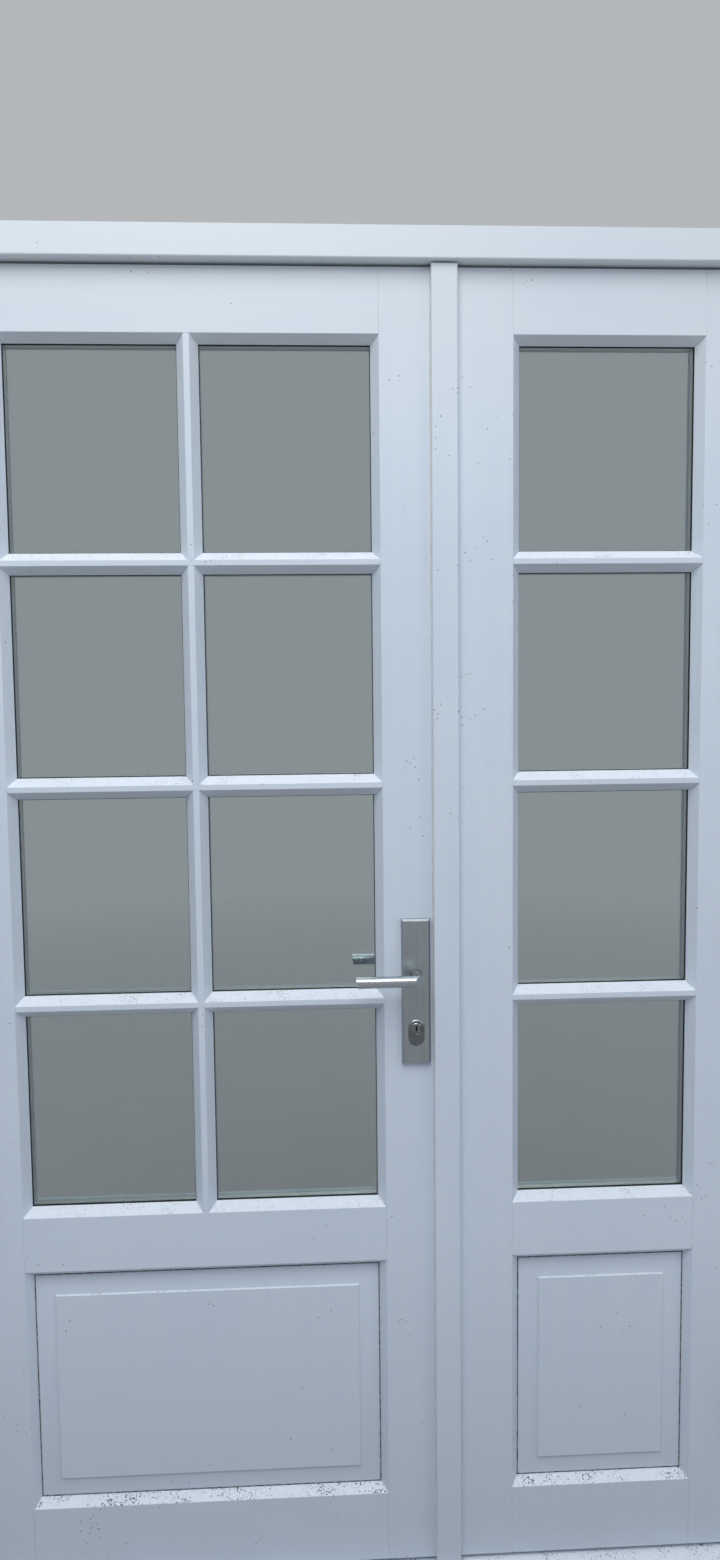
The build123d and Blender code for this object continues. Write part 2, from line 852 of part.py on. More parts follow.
# Thumb turn on the inside: a round neck through the plate and a rounded grip across it
turn_back = plate_back + turn_neck_proud
with BuildPart() as thumbturn:
    with BuildSketch(facing(leaf_back + lever_back_gap)):
        with Locations((spindle_x, plug_z)):
            Circle(turn_neck_radius)
    extrude(amount=-(turn_back - leaf_back - lever_back_gap))
    with BuildSketch(upright(spindle_x - turn_grip_width / 2)):
        with Locations((turn_back + turn_grip_reach / 2, plug_z)):
            RectangleRounded(turn_grip_reach, turn_grip_length, turn_grip_width / 2)
    extrude(amount=turn_grip_width)
save(thumbturn, "thumbturn")

# Long plates on both faces of the lock stile, bevelled all round, with a hole for the lever's neck
with BuildPart() as long_plate:
    with BuildSketch(facing(leaf_face)):
        rectangle(
            spindle_x - plate_width / 2,
            spindle_x + plate_width / 2,
            spindle_z - plate_below,
            spindle_z + plate_above,
        )
    extrude(amount=plate_thickness)
    chamfer(long_plate.edges().group_by(Axis.Y)[0], plate_bevel)
    with BuildSketch(facing(leaf_face)):
        with Locations((spindle_x, spindle_z)):
            Circle(lever_bar_radius + lever_play)
    extrude(amount=plate_thickness, mode=Mode.SUBTRACT)

# The outside plate has the cylinder's hole and blind holes for the inside plate's studs
with BuildPart() as outside_plate:
    add(long_plate)
    with BuildSketch(facing(leaf_face)):
        with Locations((spindle_x, cylinder_z)):
            oval(oval_height + 2 * slide_play, oval_width + 2 * slide_play)
    extrude(amount=plate_thickness, mode=Mode.SUBTRACT)
    with BuildSketch(facing(leaf_face)):
        with Locations(*[(spindle_x, z) for z in stud_heights]):
            Circle(stud_radius + pin_play)
    extrude(amount=stud_bite + stud_end_gap, mode=Mode.SUBTRACT)
save(outside_plate, "outside_plate")

# The inside plate has the thumb turn's hole, and two studs that hold the plates together: they
# reach through the stile into the outside plate
with BuildPart() as inside_plate:
    mirror(long_plate.part, about=facing(leaf_middle))
    with BuildSketch(facing(leaf_back)):
        with Locations((spindle_x, plug_z)):
            Circle(turn_neck_radius + lever_play)
    extrude(amount=-plate_thickness, mode=Mode.SUBTRACT)
    with BuildSketch(facing(leaf_back)):
        with Locations(*[(spindle_x, z) for z in stud_heights]):
            Circle(stud_radius)
    extrude(amount=leaf_back - leaf_face + stud_bite)
save(inside_plate, "inside_plate")

# Flat cover strip on the active leaf, lapping over the meeting gap
strip_right = passive_left + outer_strip_lap
with BuildPart() as cover_strip:
    with BuildSketch(level(leaf_bottom)):
        with Locations((strip_right, leaf_face)):
            Rectangle(outer_strip_width, outer_strip_thickness, align=(Align.MAX, Align.MAX))
    extrude(amount=leaf_height + outer_strip_rise)
    chamfer(cover_strip.faces().sort_by(Axis.Y)[0].edges().filter_by(Axis.Z), strip_chamfer)
save(cover_strip, "cover_strip")

# Inner cover strip on the passive leaf, cut back where it carries the meeting seal
lap_left = active_right - meeting_bevel - inner_strip_lap
inner_strip_foot = leaf_bottom + stop_overlap + inner_strip_end_gap
inner_strip_top = leaf_top - stop_overlap - inner_strip_end_gap
with BuildPart() as inner_cover_strip:
    with BuildSketch(level(inner_strip_foot)):
        Polygon(
            (lap_left, leaf_back + stop_gap),
            (passive_left + meeting_bevel, leaf_back + stop_gap),
            (passive_left + meeting_bevel, leaf_back),
            (lap_left + inner_strip_width, leaf_back),
            (lap_left + inner_strip_width, leaf_back + inner_strip_thickness),
            (lap_left, leaf_back + inner_strip_thickness),
            align=None,
        )
    extrude(amount=inner_strip_top - inner_strip_foot)
    chamfer(inner_cover_strip.faces().sort_by(Axis.Y)[-1].edges().filter_by(Axis.Z), strip_chamfer)
save(inner_cover_strip, "inner_cover_strip")

with BuildPart() as meeting_seal:
    block(
        lap_left + seal_inset,
        lap_left + seal_inset + seal_width,
        leaf_back + seal_play,
        leaf_back + stop_gap,
        inner_strip_foot,
        inner_strip_top,
    )
save(meeting_seal, "meeting_seal")

# Strike plate in the passive leaf's edge, opposite the latch and the deadbolt
strike_back = strike_front + strike_thickness
strike_top = spindle_z + strike_above
strike_foot = spindle_z - strike_below


def keep_windows():
    """The windows of the strike plate, as a sketch across the leaf."""
    with Locations((leaf_middle, latch_z)):
        Rectangle(bolt_thickness + 2 * strike_play, latch_height + 2 * strike_play)
    with Locations((leaf_middle, deadbolt_z)):
        Rectangle(bolt_thickness + 2 * strike_play, deadbolt_height + 2 * strike_play)


with BuildPart() as strike_plate:
    block(
        strike_front,
        strike_back,
        leaf_middle - faceplate_width / 2,
        leaf_middle + faceplate_width / 2,
        strike_foot,
        strike_top,
    )
    with BuildSketch(upright(strike_front)):
        keep_windows()
    extrude(amount=strike_thickness, mode=Mode.SUBTRACT)
save(strike_plate, "strike_plate")

# Flush bolts at the top and the foot of the passive leaf's edge. Each entry is the leaf's end and
# the way out of it.
bolt_ends = {"top": (leaf_top, 1), "bottom": (leaf_bottom, -1)}
bolt_plate_back = strike_front + bolt_plate_thickness
rod_x = bolt_plate_back + rod_set_in


def bolt_heights_at(end):
    """Heights of one flush bolt: plate ends, guide, knob at rest and rod tip, from the leaf's end."""
    leaf_end, out = bolt_ends[end]
    near = leaf_end - out * bolt_end_distance
    return {
        "near": near,
        "far": near - out * bolt_plate_height,
        "guide": near - out * bolt_channel_end,
        "knob": near - out * knob_distance,
        "tip": leaf_end - out * rod_recess,
        "out": out,
    }


def span(z, out, length):
    """A pair of heights that starts at z and runs out by a length, lowest first."""
    return sorted((z, z + out * length))


with BuildPart() as flush_bolt_plates:
    for end in bolt_ends:
        at = bolt_heights_at(end)
        half = bolt_plate_width / 2
        block(
            strike_front,
            bolt_plate_back,
            leaf_middle - half,
            leaf_middle + half,
            *sorted((at["near"], at["far"])),
        )
        block(
            bolt_plate_back,
            bolt_plate_back + bolt_channel_depth,
            leaf_middle - bolt_channel_width / 2,
            leaf_middle + bolt_channel_width / 2,
            *span(at["guide"], -at["out"], bolt_guide_height),
        )
        with BuildSketch(level(min(at["near"], at["far"]))):
            with Locations((rod_x, leaf_middle)):
                Rectangle(rod_depth + 2 * rod_play, rod_width + 2 * rod_play)
        extrude(amount=bolt_plate_height, mode=Mode.SUBTRACT)
        slot_start = at["knob"] - at["out"] * (knob_height / 2 + knob_rest_play)
        slot_length = knob_height + rod_throw + 2 * knob_rest_play
        block(
            strike_front,
            bolt_plate_back,
            leaf_middle - knob_width / 2 - rod_play,
            leaf_middle + knob_width / 2 + rod_play,
            *span(slot_start, at["out"], slot_length),
            mode=Mode.SUBTRACT,
        )
save(flush_bolt_plates, "flush_bolt_plates")

for end in bolt_ends:
    at = bolt_heights_at(end)
    rod_start = at["knob"] - at["out"] * knob_height / 2
    with BuildPart() as rod:
        block(
            rod_x - rod_depth / 2,
            rod_x + rod_depth / 2,
            leaf_middle - rod_width / 2,
            leaf_middle + rod_width / 2,
            *sorted((rod_start, at["tip"])),
        )
        block(
            strike_front - knob_proud,
            rod_x,
            leaf_middle - knob_width / 2,
            leaf_middle + knob_width / 2,
            at["knob"] - knob_height / 2,
            at["knob"] + knob_height / 2,
        )
    save(rod, f"{end}_bolt_rod")

# Meeting stile of the passive leaf: recesses for strike and bolt plates, pockets and rod channels
meeting_stile = leaf_member(
    passive_left,
    passive_x0,
    leaf_bottom,
    leaf_top,
    border_sides(passive_panes[0], "left", passive_panel_openings),
    left_bevel=meeting_bevel,
)
with BuildPart() as passive_meeting_stile:
    add(meeting_stile)
    block(
        passive_left,
        strike_back,
        leaf_middle - faceplate_width / 2,
        leaf_middle + faceplate_width / 2,
        strike_foot,
        strike_top,
        mode=Mode.SUBTRACT,
    )
    with BuildSketch(upright(strike_back)):
        keep_windows()
    extrude(amount=strike_pocket, mode=Mode.SUBTRACT)
    for end in bolt_ends:
        at = bolt_heights_at(end)
        block(
            passive_left,
            bolt_plate_back,
            leaf_middle - bolt_plate_width / 2,
            leaf_middle + bolt_plate_width / 2,
            *sorted((at["near"], at["far"])),
            mode=Mode.SUBTRACT,
        )
        block(
            bolt_plate_back,
            bolt_plate_back + bolt_channel_depth,
            leaf_middle - bolt_channel_width / 2,
            leaf_middle + bolt_channel_width / 2,
            *sorted((at["guide"], at["far"] + at["out"] * bolt_channel_end)),
            mode=Mode.SUBTRACT,
        )
        block(
            rod_x - rod_depth / 2 - keep_play,
            rod_x + rod_depth / 2 + keep_play,
            leaf_middle - rod_width / 2 - keep_play,
            leaf_middle + rod_width / 2 + keep_play,
            *sorted((at["guide"], bolt_ends[end][0])),
            mode=Mode.SUBTRACT,
        )
save(passive_meeting_stile, "passive_meeting_stile")

# Keeps for the flush bolts: slotted plates let into the head and the threshold
sill_at_rod = threshold_height - (stop_face - leaf_middle + keep_width / 2) * tan(threshold_fall)
keep_faces = {"top": (head_bottom, 1), "bottom": (sill_at_rod, -1)}


def keep_block(end, width, length, start, depth, mode=Mode.ADD):
    """A block at a bolt's keep, from a distance behind the keep's face and of the depth given."""
    face, into = keep_faces[end]
    low, high = sorted((face + into * start, face + into * (start + depth)))
    half_width, half_length = width / 2, length / 2
    block(
        rod_x - half_length,
        rod_x + half_length,
        leaf_middle - half_width,
        leaf_middle + half_width,
        low,
        high,
        mode=mode,
    )


keep_slot = (rod_width + 2 * keep_play, rod_depth + 2 * keep_play)
tread_rise = keep_width * tan(threshold_fall)
with BuildPart() as bolt_keeps:
    for end in keep_faces:
        keep_block(end, keep_width, keep_length, 0, keep_thickness)
        keep_block(end, *keep_slot, 0, keep_thickness, mode=Mode.SUBTRACT)
save(bolt_keeps, "bolt_keeps")

# Head: rebated on the outside for the leaves, with a stop behind them
with BuildPart() as frame_head:
    with BuildSketch(upright(-jamb_reveal)):
        Polygon(
            (frame_front, head_bottom),
            (stop_face, head_bottom),
            (stop_face, leaf_top - stop_overlap),
            (frame_back, leaf_top - stop_overlap),
            (frame_back, frame_top),
            (frame_front, frame_top),
            align=None,
        )
    extrude(amount=opening_width)
    fillet(
        frame_head.edges().filter_by(Axis.X).group_by(Axis.Y)[0].sort_by(Axis.Z)[0],
        frame_edge_radius,
    )
    for side in (-1, 1):
        block(
            side * jamb_reveal,
            side * frame_width / 2,
            frame_front,
            frame_back,
            head_bottom,
            frame_top,
        )
        block(
            side * jamb_reveal,
            side * stop_edge,
            stop_face,
            frame_back,
            leaf_top - stop_overlap,
            head_bottom,
            mode=Mode.SUBTRACT,
        )
    keep_block("top", keep_width, keep_length, 0, keep_thickness, mode=Mode.SUBTRACT)
    keep_block("top", *keep_slot, keep_thickness, keep_pocket, mode=Mode.SUBTRACT)
save(frame_head, "frame_head")

# Jambs: rebated like the head, bored for the screws that fix the frame to the wall
fixing_heights = [fixing_first + i * fixing_spacing for i in range(fixing_count)]
for name, side in (("left", -1), ("right", 1)):
    reveal = side * jamb_reveal
    outer = side * frame_width / 2
    with BuildPart() as jamb:
        with BuildSketch(level(0)):
            Polygon(
                (outer, frame_front),
                (reveal, frame_front),
                (reveal, stop_face),
                (side * stop_edge, stop_face),
                (side * stop_edge, frame_back),
                (outer, frame_back),
                align=None,
            )
        extrude(amount=head_bottom)
        upright_edges = jamb.edges().filter_by(Axis.Z)
        front_edges = upright_edges.group_by(Axis.Y)[0].sort_by(Axis.X)
        fillet(front_edges[-1] if side < 0 else front_edges[0], frame_edge_radius)
        cut_hinge_recesses(reveal, side, frame_front)
        for height in fixing_heights:
            with BuildSketch(upright(reveal)):
                with Locations((leaf_middle, height)):
                    Circle(fixing_radius)
            extrude(amount=side * frame_face, mode=Mode.SUBTRACT)
    save(jamb, f"frame_jamb_{name}")

# Threshold: a falling tread with a nose and a drip groove, and an upstand behind the leaves
nose_front = frame_front - threshold_nose
nose_height = threshold_height - (stop_face - nose_front) * tan(threshold_fall)
with BuildPart() as threshold:
    with BuildSketch(upright(-jamb_reveal)):
        Polygon(
            (nose_front, 0),
            (frame_back, 0),
            (frame_back, leaf_bottom + stop_overlap),
            (stop_face, leaf_bottom + stop_overlap),
            (stop_face, threshold_height),
            (nose_front, nose_height),
            align=None,
        )
    extrude(amount=opening_width)
    fillet(
        threshold.edges().filter_by(Axis.X).group_by(Axis.Y)[0].sort_by(Axis.Z)[-1],
        frame_edge_radius,
    )
    block(
        -jamb_reveal,
        jamb_reveal,
        nose_front + drip_groove,
        nose_front + 2 * drip_groove,
        0,
        drip_groove,
        mode=Mode.SUBTRACT,
    )
    for side in (-1, 1):
        block(
            side * jamb_reveal,
            side * stop_edge,
            stop_face,
            frame_back,
            0,
            leaf_bottom + stop_overlap,
            mode=Mode.SUBTRACT,
        )
    recess_depth = tread_rise + keep_thickness
    keep_block("bottom", keep_width, keep_length, -tread_rise, recess_depth, mode=Mode.SUBTRACT)
    keep_block("bottom", *keep_slot, keep_thickness, keep_pocket, mode=Mode.SUBTRACT)
save(threshold, "threshold")

# Seal round the stops, a little clear of the closed leaves
seal_edge = stop_edge + seal_inset + seal_width
seal_foot = leaf_bottom + stop_overlap - seal_inset - seal_width
seal_top = leaf_top - stop_overlap + seal_inset + seal_width
with BuildPart() as frame_seal:
    with BuildSketch(facing(leaf_back + seal_play)):
        rectangle(-seal_edge, seal_edge, seal_foot, seal_top)
        rectangle(-seal_edge, seal_edge, seal_foot, seal_top, seal_width, mode=Mode.SUBTRACT)
    extrude(amount=-(stop_gap - seal_play))
save(frame_seal, "frame_seal")
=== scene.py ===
import math

import bpy
from mathutils import Matrix, Vector


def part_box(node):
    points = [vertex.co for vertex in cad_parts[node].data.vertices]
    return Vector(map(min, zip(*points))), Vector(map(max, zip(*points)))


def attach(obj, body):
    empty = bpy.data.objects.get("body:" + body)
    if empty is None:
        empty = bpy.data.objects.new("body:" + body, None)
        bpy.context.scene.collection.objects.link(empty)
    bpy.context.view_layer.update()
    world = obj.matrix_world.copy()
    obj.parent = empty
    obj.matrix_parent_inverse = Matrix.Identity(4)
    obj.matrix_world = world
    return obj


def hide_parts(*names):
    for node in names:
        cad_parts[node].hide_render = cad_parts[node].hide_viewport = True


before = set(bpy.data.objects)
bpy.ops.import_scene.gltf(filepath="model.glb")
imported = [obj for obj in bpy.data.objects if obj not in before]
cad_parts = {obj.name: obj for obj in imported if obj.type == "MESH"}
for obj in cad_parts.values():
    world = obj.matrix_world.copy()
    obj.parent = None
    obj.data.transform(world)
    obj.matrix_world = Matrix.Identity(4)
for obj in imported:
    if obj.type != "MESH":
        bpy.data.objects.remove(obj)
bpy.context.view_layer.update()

# ---------------------------------------------------------------------------------------------
# Outer frame. Two pine jambs and a head rebated from one section, with a hardwood threshold
# tenoned between the jambs. All faces are brushed with a cool white paint, which lets a little
# of the grain show and gathers dust on what faces up. What faces up is also painted paler, a
# painted highlight.


def effect(name, takes, gives):
    """An empty node group with named sockets, and its two end nodes."""
    tree = bpy.data.node_groups.new(name, "ShaderNodeTree")
    for label, kind, value in takes:
        socket = tree.interface.new_socket(label, in_out="INPUT", socket_type="NodeSocket" + kind)
        if value is not None:
            socket.default_value = value
    for label, kind in gives:
        tree.interface.new_socket(label, in_out="OUTPUT", socket_type="NodeSocket" + kind)
    given, out = tree.nodes.new("NodeGroupInput"), tree.nodes.new("NodeGroupOutput")
    return tree, given.outputs, out.inputs


def fill(tree, socket, value):
    """A socket linked from another one, or set to a plain value."""
    if isinstance(value, bpy.types.NodeSocket):
        tree.links.new(value, socket)
    else:
        socket.default_value = value


def put(tree, kind, values=None, **settings):
    """A shader node with its settings, its plain values and its links from other sockets."""
    node = tree.nodes.new("ShaderNode" + kind)
    for name, value in settings.items():
        setattr(node, name, value)
    for name, value in (values or {}).items():
        fill(tree, node.inputs[name], value)
    return node.outputs


def maths(tree, operation, *terms):
    """The result of one sum on its terms."""
    return put(tree, "Math", dict(enumerate(terms)), operation=operation)["Value"]


def noise(tree, point, scale, detail, roughness=0.5):
    """Soft noise round one half, its scale in waves to a metre."""
    values = {"Vector": point, "Scale": scale, "Detail": detail, "Roughness": roughness}
    return put(tree, "TexNoise", values)["Fac"]


def blend(tree, factor, first, second):
    """One colour laid over another by a factor."""
    node = tree.nodes.new("ShaderNodeMix")
    node.data_type = "RGBA"
    factor_in, first_in, second_in = node.inputs[0], node.inputs[6], node.inputs[7]
    fill(tree, factor_in, factor)
    fill(tree, first_in, first)
    fill(tree, second_in, second)
    return node.outputs[2]


def ramp(tree, value, start, end, low=0.0, high=1.0):
    """A value taken from one range to another, and held at the ends."""
    names = {"Value": value, "From Min": start, "From Max": end, "To Min": low, "To Max": high}
    return put(tree, "MapRange", names)["Result"]


def drawn_out(tree, given):
    """A group's point drawn out along the way its lines run."""
    values = {0: given["Point"], 1: given["Stretch"]}
    return put(tree, "VectorMath", values, operation="MULTIPLY")["Vector"]


# Grain and brush strokes: long streaks along the member, and slow changes of tone
tree, given, out = effect(
    "grain_under_paint",
    [("Point", "Vector", None), ("Stretch", "Vector", (1, 1, 0.04))],
    [("Height", "Float"), ("Tone", "Float")],
)
drawn = drawn_out(tree, given)
strokes = noise(tree, drawn, 240, 4, 0.6)
hairs = noise(tree, drawn, 950, 2)
peel = noise(tree, given["Point"], 420, 1)
rows = maths(tree, "MULTIPLY_ADD", hairs, 0.35, strokes)
tree.links.new(maths(tree, "MULTIPLY_ADD", peel, 0.3, rows), out["Height"])
cloud = noise(tree, given["Point"], 4.5, 3)
streak = noise(tree, drawn, 60, 2)
tree.links.new(blend(tree, 0.4, cloud, streak), out["Tone"])
grain_under_paint = tree

# Dirt and painted highlight: small ragged specks in groups on any face, and on faces that look up
# crumbs and a mottled dust mask, which the paint uses both for dust and for a painted highlight
tree, given, out = effect(
    "specks_dust_and_top_highlight",
    [("Point", "Vector", None), ("Speck share", "Float", 0.08), ("Ledge share", "Float", 0.5)],
    [("Specks", "Float"), ("Dust and top highlight", "Float"), ("Crumbs", "Float")],
)
spot, wobble = given["Point"], (0.0018, 0.0018, 0.0018)
jitter = put(tree, "TexNoise", {"Vector": spot, "Scale": 900, "Detail": 2})["Color"]
ragged = put(tree, "VectorMath", {0: jitter, 1: wobble, 2: spot}, operation="MULTIPLY_ADD")
cells = put(tree, "TexVoronoi", {"Vector": ragged["Vector"], "Scale": 150})
pick = put(tree, "SeparateColor", {"Color": cells["Color"]})
size = ramp(tree, pick["Green"], 0, 1, 0.07, 0.17)
near = maths(tree, "LESS_THAN", cells["Distance"], size)
gathered = noise(tree, spot, 13, 1)
crowd = ramp(tree, gathered, 0.62, 0.72, 0.01, 3.5)
limit = maths(tree, "MULTIPLY", given["Speck share"], crowd)
chosen = maths(tree, "LESS_THAN", pick["Red"], limit)
tree.links.new(maths(tree, "MULTIPLY", near, chosen), out["Specks"])
facing_up = put(tree, "SeparateXYZ", {"Vector": put(tree, "NewGeometry")["Normal"]})["Z"]
ledge = ramp(tree, facing_up, 0.25, 0.8)
film = noise(tree, spot, 130, 4, 0.7)
tree.links.new(maths(tree, "MULTIPLY", ledge, film), out["Dust and top highlight"])
bits = noise(tree, spot, 300, 3, 0.75)
clumps = noise(tree, spot, 22, 2)
level = maths(tree, "MULTIPLY_ADD", clumps, -0.42, 0.845)
crumbs = maths(tree, "MULTIPLY", maths(tree, "GREATER_THAN", bits, level), ledge)
tree.links.new(maths(tree, "MULTIPLY", crumbs, given["Ledge share"]), out["Crumbs"])
specks_dust_and_top_highlight = tree


def group(tree, effect_tree, values):
    """An effect's group placed in a material."""
    node = tree.nodes.new("ShaderNodeGroup")
    node.node_tree = effect_tree
    for name, value in values.items():
        fill(tree, node.inputs[name], value)
    return node.outputs


def new_material(name, **sockets):
    """A material with one Principled shader: its node tree, that shader's inputs, and a point."""
    material = bpy.data.materials.new(name)
    material.use_nodes = True
    tree = material.node_tree
    shader = tree.nodes["Principled BSDF"].inputs
    for label, value in sockets.items():
        shader[label.replace("_", " ")].default_value = value
    return material, tree, shader, put(tree, "TexCoord")["Object"]


def bump(tree, shader, height, depth, strength):
    """A bump of so many metres on a shader."""
    values = {"Height": height, "Distance": depth, "Strength": strength}
    tree.links.new(put(tree, "Bump", values)["Normal"], shader["Normal"])


def paint(name, stretch, stroke_depth=0.00022, speck_share=0.15, ledge_share=0.35, top_highlight_share=0.75):
    """Cool white brushed paint over timber, its grain along the member's length."""
    material, tree, shader, point = new_material(name)
    wood = group(tree, grain_under_paint, {"Point": point, "Stretch": stretch})
    shares = {"Point": point, "Speck share": speck_share, "Ledge share": ledge_share}
    dirt = group(tree, specks_dust_and_top_highlight, shares)
    height = put(tree, "SeparateXYZ", {"Vector": point})["Z"]
    cool, pale = (0.645, 0.725, 0.797, 1), (0.695, 0.772, 0.835, 1)
    coat = blend(tree, ramp(tree, wood["Tone"], 0.3, 0.7), cool, pale)
    # Yellowed towards the head, and a painted shade, darker and greyer, towards the ground
    yellowed = maths(tree, "MULTIPLY", ramp(tree, height, 1.8, 2.11, 0, 0.4), wood["Tone"])
    coat = blend(tree, yellowed, coat, (0.66, 0.63, 0.51, 1))
    painted_ground_shade = maths(tree, "MULTIPLY", ramp(tree, height, 0.6, 0.04, 0, 0.7), wood["Tone"])
    coat = blend(tree, painted_ground_shade, coat, (0.47, 0.5, 0.52, 1))
    # Painted highlight: what faces up is mixed towards a pale bluish white, mottled like dust.
    # Dark crumbs on what faces up, and specks over all of it
    dust_mottled_highlight = ramp(tree, dirt["Dust and top highlight"], 0.1, 0.5, 0, top_highlight_share)
    coat = blend(tree, dust_mottled_highlight, coat, (0.84, 0.88, 0.93, 1))
    coat = blend(tree, dirt["Crumbs"], coat, (0.07, 0.065, 0.055, 1))
    coat = blend(tree, ramp(tree, dirt["Specks"], 0, 1, 0, 0.85), coat, (0.07, 0.06, 0.045, 1))
    tree.links.new(coat, shader["Base Color"])
    rough = ramp(tree, wood["Tone"], 0.2, 0.8, 0.36, 0.5)
    dusty = ramp(tree, dirt["Dust and top highlight"], 0.1, 0.6, 0, 0.35)
    tree.links.new(maths(tree, "ADD", rough, dusty), shader["Roughness"])
    grit = maths(tree, "MULTIPLY_ADD", dirt["Crumbs"], 2.0, wood["Height"])
    bump(tree, shader, grit, stroke_depth, 0.55)
    return material


def even_shading(piece, angle):
    """Smooth shading across soft edges, with large flat faces left flat."""
    bpy.ops.object.shade_smooth_by_angle(angle=math.radians(angle))
    weighted = piece.modifiers.new("weighted", "WEIGHTED_NORMAL")
    weighted.mode, weighted.weight, weighted.keep_sharp = "FACE_AREA", 100, True
    bpy.ops.object.modifier_apply(modifier="weighted")


def soften(piece, width, bends, angle):
    """Every corner sharper than an angle rounded off by a width."""
    eased = piece.modifiers.new("eased", "BEVEL")
    eased.width, eased.segments, eased.limit_method = width, bends, "ANGLE"
    eased.angle_limit = math.radians(angle)
    bpy.ops.object.modifier_apply(modifier="eased")


def eased_copy(
    node, name, body, finish, arris, bends=2, rim=None, rim_round=0.0
):
    """A CAD node's mesh with its points merged and its corners eased, in place of the node.

    Where rim is given, the edges whose ends it accepts are first rounded by more."""
    same_place, nearly_flat = 0.000002, math.radians(0.4)
    bpy.ops.object.select_all(action="DESELECT")
    piece = bpy.data.objects.new(name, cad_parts[node].data.copy())
    bpy.context.scene.collection.objects.link(piece)
    piece.select_set(True)
    bpy.context.view_layer.objects.active = piece
    piece.data.materials.clear()
    bpy.ops.object.mode_set(mode="EDIT")
    bpy.ops.mesh.select_all(action="SELECT")
    bpy.ops.mesh.remove_doubles(threshold=same_place)
    bpy.ops.mesh.dissolve_limited(angle_limit=nearly_flat)
    bpy.ops.mesh.normals_make_consistent(inside=False)
    if rim:
        bpy.ops.mesh.select_mode(type="EDGE")
        bpy.ops.mesh.select_all(action="DESELECT")
        bpy.ops.object.mode_set(mode="OBJECT")
        for edge in piece.data.edges:
            edge.select = all(rim(piece.data.vertices[i].co) for i in edge.vertices)
        bpy.ops.object.mode_set(mode="EDIT")
        bpy.ops.mesh.bevel(offset=rim_round, segments=4)
        bpy.ops.mesh.select_mode(type="VERT")
    bpy.ops.object.mode_set(mode="OBJECT")
    soften(piece, arris, bends, 28)
    even_shading(piece, 50)
    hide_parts(node)
    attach(piece, body)
    piece.data.materials.append(finish)
    return piece


upright_paint = paint("paint_on_uprights", (1, 1, 0.04), top_highlight_share=0.15)
level_paint = paint("paint_on_rails", (0.04, 1, 1))
head_paint = paint("paint_on_head", (0.04, 1, 1), top_highlight_share=0.15)
threshold_paint = paint(
    "paint_on_threshold", (0.04, 1, 1), stroke_depth=0.0003, speck_share=0.25, ledge_share=0.9
)
for node, finish in (
    ("frame_head", head_paint),
    ("frame_jamb_left", upright_paint),
    ("frame_jamb_right", upright_paint),
    ("threshold", threshold_paint),
):
    eased_copy(node, node + "_painted", "frame", finish, 0.0012)

# Soft grey seal, a hollow rubber strip pressed into a groove in the stops
seal_rubber, tree, shader, point = new_material("seal_rubber", Specular_IOR_Level=0.35)
dirt = group(tree, specks_dust_and_top_highlight, {"Point": point, "Speck share": 0.2, "Ledge share": 0.3})
bloom = noise(tree, point, 60, 4)
tone = blend(tree, ramp(tree, bloom, 0.35, 0.7), (0.3, 0.295, 0.28, 1), (0.37, 0.365, 0.35, 1))
tree.links.new(blend(tree, dirt["Specks"], tone, (0.1, 0.09, 0.08, 1)), shader["Base Color"])
tree.links.new(ramp(tree, bloom, 0.3, 0.7, 0.62, 0.78), shader["Roughness"])
bump(tree, shader, noise(tree, point, 1400, 2), 0.0001, 0.4)
seal_round = 0.0012
eased_copy("frame_seal", "frame_seal_strip", "frame", seal_rubber, seal_round, 3)

# ---------------------------------------------------------------------------------------------
# Leaves. Each is a pair of stiles with three rails, divided by moulded glazing bars, and closed
# below by a raised and fielded panel in a moulded frame. The joints are glued, and show as fine
# lines where one member meets another.
panel_paint = paint(
    "paint_on_panels", (1, 1, 0.06), stroke_depth=0.00012, speck_share=0.1, ledge_share=0.6
)
sill_rail_paint = paint(
    "paint_on_bottom_rails", (0.04, 1, 1), speck_share=0.2, ledge_share=0.95
)
for leaf, closing in (("active", "lock"), ("passive", "meeting")):
    members = [
        ("hinge_stile", upright_paint),
        (closing + "_stile", upright_paint),
        ("top_rail", head_paint),
        ("mid_rail", level_paint),
        ("bottom_rail", sill_rail_paint),
        ("cross_bars", level_paint),
        ("panel", panel_paint),
        ("glazing_beads", level_paint),
    ]
    if leaf == "active":
        members.append(("upright_bars", upright_paint))
    for part, finish in members:
        node = f"{leaf}_{part}"
        arris = 0.0008 if part == "panel" else 0.0006
        eased_copy(node, node + "_painted", leaf + "_leaf", finish, arris)


def place_ready(piece, name, body):
    """Name a finished piece, put its place into its mesh, and let it ride on a body."""
    bpy.ops.object.select_all(action="DESELECT")
    piece.select_set(True)
    bpy.context.view_layer.objects.active = piece
    bpy.ops.object.transform_apply(location=True, rotation=True, scale=True)
    piece.name = piece.data.name = name
    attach(piece, body)


def colour(tree, shader, value, start, end, dark, light):
    """A shader's colour, from dark to light as a value goes from its start to its end."""
    tree.links.new(blend(tree, ramp(tree, value, start, end), dark, light), shader["Base Color"])
